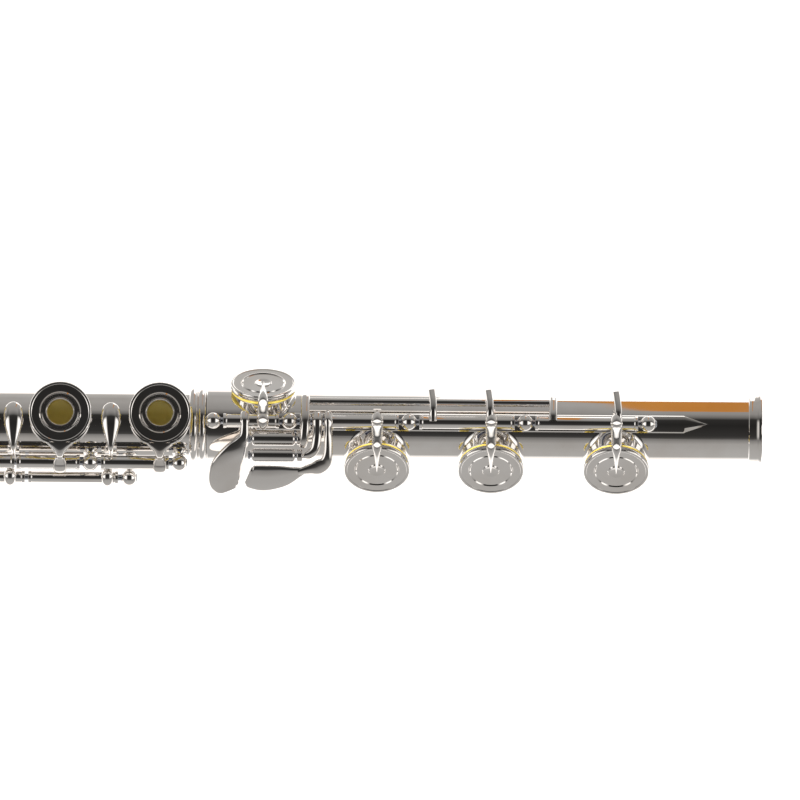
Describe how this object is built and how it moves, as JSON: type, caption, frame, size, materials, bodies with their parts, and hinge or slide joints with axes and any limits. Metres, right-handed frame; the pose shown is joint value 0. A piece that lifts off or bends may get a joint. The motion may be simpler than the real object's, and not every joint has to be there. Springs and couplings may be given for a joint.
{
  "type": "concert flute",
  "caption": "Silver concert flute with a head joint, an open-hole body and a long foot joint: sprung, padded keys on rods and posts along one straight tube.",
  "frame": {"origin": "centre of the crown's flat end face, on the tube's axis", "axes": "+X along the tube from the crown to the open end of the foot; +Z towards the side of the body's tone holes and the mouth hole; -Y towards the player"},
  "size_m": [0.695, 0.0397, 0.0375],
  "materials": {
    "silver": "polished silver plate with a slightly warm tint",
    "steel": "ground steel rod",
    "pad": "yellow skin over felt, slightly glossy",
    "cork": "matt cork",
    "roller": "polished silver plate"
  },
  "bodies": {
    "body": {"body_tube": "silver", "barrel": "silver", "main_rib": "silver", "trill_rib": "silver", "gsharp_rib": "silver", "thumb_rib": "silver", "right_hand_steel": "steel", "left_hand_steel": "steel", "gsharp_steel": "steel", "thumb_steel": "steel"},
    "head": {"head_tube": "silver", "riser": "silver", "lip_plate": "silver"},
    "crown": {"crown": "silver"},
    "stopper": {"stopper_cork": "cork", "stopper_screw": "steel"},
    "foot": {"foot_tube": "silver", "socket_ring": "silver", "end_ring": "silver", "foot_rib": "silver", "receiver_post": "silver", "foot_dsharp_steel": "steel"},
    "d_key": {"d_key": "silver", "d_pad": "pad"},
    "e_key": {"e_key": "silver", "e_pad": "pad"},
    "f_key": {"f_key": "silver", "f_pad": "pad"},
    "fsharp_key": {"fsharp_key": "silver", "fsharp_pad": "pad"},
    "g_key": {"g_key": "silver", "lower_g_pad": "pad", "upper_g_pad": "pad"},
    "a_key": {"a_key": "silver", "a_pad": "pad"},
    "bflat_key": {"bflat_key": "silver", "bflat_pad": "pad"},
    "c_key": {"c_key": "silver", "c_pad": "pad", "small_csharp_pad": "pad"},
    "gsharp_key": {"gsharp_key": "silver", "gsharp_pad": "pad"},
    "thumb_key": {"thumb_key": "silver", "thumb_pad": "pad"},
    "trill_d_key": {"trill_d_key": "silver", "trill_d_pad": "pad"},
    "trill_dsharp_key": {"trill_dsharp_key": "silver", "trill_dsharp_pad": "pad"},
    "foot_dsharp_key": {"foot_dsharp_key": "silver", "foot_dsharp_pad": "pad"},
    "foot_csharp_key": {"foot_csharp_key": "silver", "foot_csharp_pad": "pad"},
    "foot_c_key": {"foot_c_key": "silver", "foot_c_pad": "pad"},
    "foot_b_key": {"foot_b_key": "silver", "foot_b_pad": "pad"},
    "c_roller": {"c_roller": "roller"},
    "b_roller": {"b_roller": "roller"}
  },
  "joints": [
    {"name": "head_pull", "type": "slide", "parent": "body", "child": "head", "axis": [-1, 0, 0], "range_m": [0, 0.018]},
    {"name": "crown_turn", "type": "hinge", "parent": "head", "child": "crown", "pos_m": [0.01, 0, 0], "axis": [1, 0, 0], "range_deg": [-360, 360]},
    {"name": "stopper_shift", "type": "slide", "parent": "head", "child": "stopper", "axis": [1, 0, 0], "range_m": [-0.0008, 0.0008]},
    {"name": "foot_turn", "type": "hinge", "parent": "body", "child": "foot", "pos_m": [0.53, 0, 0], "axis": [1, 0, 0], "range_deg": [-20, 20]},
    {"name": "d_key_press", "type": "hinge", "parent": "body", "child": "d_key", "pos_m": [0.5084, -0.01362, 0.00578], "axis": [-1, 0, 0], "range_deg": [0, 8.5], "stiffness_Nm_per_rad": 0.02, "springref_deg": -11.46},
    {"name": "e_key_press", "type": "hinge", "parent": "body", "child": "e_key", "pos_m": [0.4826, -0.01362, 0.00578], "axis": [-1, 0, 0], "range_deg": [0, 8.5], "stiffness_Nm_per_rad": 0.02, "springref_deg": -11.46},
    {"name": "f_key_press", "type": "hinge", "parent": "body", "child": "f_key", "pos_m": [0.4594, -0.01362, 0.00578], "axis": [-1, 0, 0], "range_deg": [0, 8.5], "stiffness_Nm_per_rad": 0.02, "springref_deg": -11.46},
    {"name": "fsharp_key_press", "type": "hinge", "parent": "body", "child": "fsharp_key", "pos_m": [0.4344, -0.01362, 0.00578], "axis": [-1, 0, 0], "range_deg": [0, 8.5], "stiffness_Nm_per_rad": 0.02, "springref_deg": -11.46},
    {"name": "g_key_press", "type": "hinge", "parent": "body", "child": "g_key", "pos_m": [0.3951, -0.01362, 0.00578], "axis": [-1, 0, 0], "range_deg": [0, 8.5], "stiffness_Nm_per_rad": 0.02, "springref_deg": -11.46},
    {"name": "a_key_press", "type": "hinge", "parent": "body", "child": "a_key", "pos_m": [0.3635, -0.01362, 0.00578], "axis": [-1, 0, 0], "range_deg": [0, 8.5], "stiffness_Nm_per_rad": 0.02, "springref_deg": -11.46},
    {"name": "bflat_key_press", "type": "hinge", "parent": "body", "child": "bflat_key", "pos_m": [0.3396, -0.01362, 0.00578], "axis": [-1, 0, 0], "range_deg": [0, 8.5], "stiffness_Nm_per_rad": 0.02, "springref_deg": -11.46},
    {"name": "c_key_press", "type": "hinge", "parent": "body", "child": "c_key", "pos_m": [0.308, -0.01362, 0.00578], "axis": [-1, 0, 0], "range_deg": [0, 8.5], "stiffness_Nm_per_rad": 0.02, "springref_deg": -11.46},
    {"name": "gsharp_key_press", "type": "hinge", "parent": "body", "child": "gsharp_key", "pos_m": [0.4077, 0.01299, 0.0075], "axis": [1, 0, 0], "range_deg": [0, 7], "stiffness_Nm_per_rad": 0.02, "springref_deg": -11.46},
    {"name": "thumb_key_press", "type": "hinge", "parent": "body", "child": "thumb_key", "pos_m": [0.3318, 0.00433, -0.01415], "axis": [-1, 0, 0], "range_deg": [0, 8], "stiffness_Nm_per_rad": 0.02, "springref_deg": -11.46},
    {"name": "trill_d_key_press", "type": "hinge", "parent": "body", "child": "trill_d_key", "pos_m": [0.3721, -0.01629, -0.00057], "axis": [-1, 0, 0], "range_deg": [0, 7], "stiffness_Nm_per_rad": 0.02, "springref_deg": -11.46},
    {"name": "trill_dsharp_key_press", "type": "hinge", "parent": "body", "child": "trill_dsharp_key", "pos_m": [0.379, -0.01629, -0.00057], "axis": [-1, 0, 0], "range_deg": [0, 7], "stiffness_Nm_per_rad": 0.02, "springref_deg": -11.46},
    {"name": "foot_dsharp_key_press", "type": "hinge", "parent": "foot", "child": "foot_dsharp_key", "pos_m": [0.5427, -0.00299, 0.01409], "axis": [1, 0, 0], "range_deg": [0, 8.5], "stiffness_Nm_per_rad": 0.02, "springref_deg": -11.46},
    {"name": "foot_csharp_key_press", "type": "hinge", "parent": "foot", "child": "foot_csharp_key", "pos_m": [0.5769, -0.00299, 0.01409], "axis": [1, 0, 0], "range_deg": [0, 10], "stiffness_Nm_per_rad": 0.02, "springref_deg": -11.46},
    {"name": "foot_c_key_press", "type": "hinge", "parent": "foot", "child": "foot_c_key", "pos_m": [0.6071, -0.00299, 0.01409], "axis": [1, 0, 0], "range_deg": [0, 10], "stiffness_Nm_per_rad": 0.02, "springref_deg": -11.46},
    {"name": "foot_b_key_press", "type": "hinge", "parent": "foot", "child": "foot_b_key", "pos_m": [0.6427, -0.00299, 0.01409], "axis": [1, 0, 0], "range_deg": [0, 10], "stiffness_Nm_per_rad": 0.02, "springref_deg": -11.46},
    {"name": "c_roller_spin", "type": "hinge", "parent": "foot_c_key", "child": "c_roller", "pos_m": [0.5493, -0.01335, 0.01298], "axis": [1, 0, 0], "continuous": true},
    {"name": "b_roller_spin", "type": "hinge", "parent": "foot_b_key", "child": "b_roller", "pos_m": [0.5493, -0.00851, 0.01396], "axis": [1, 0, 0], "continuous": true}
  ],
  "couplings": [
    {"joint": "stopper_shift", "follows": "crown_turn", "m_per_rad": 0.0001114}
  ]
}
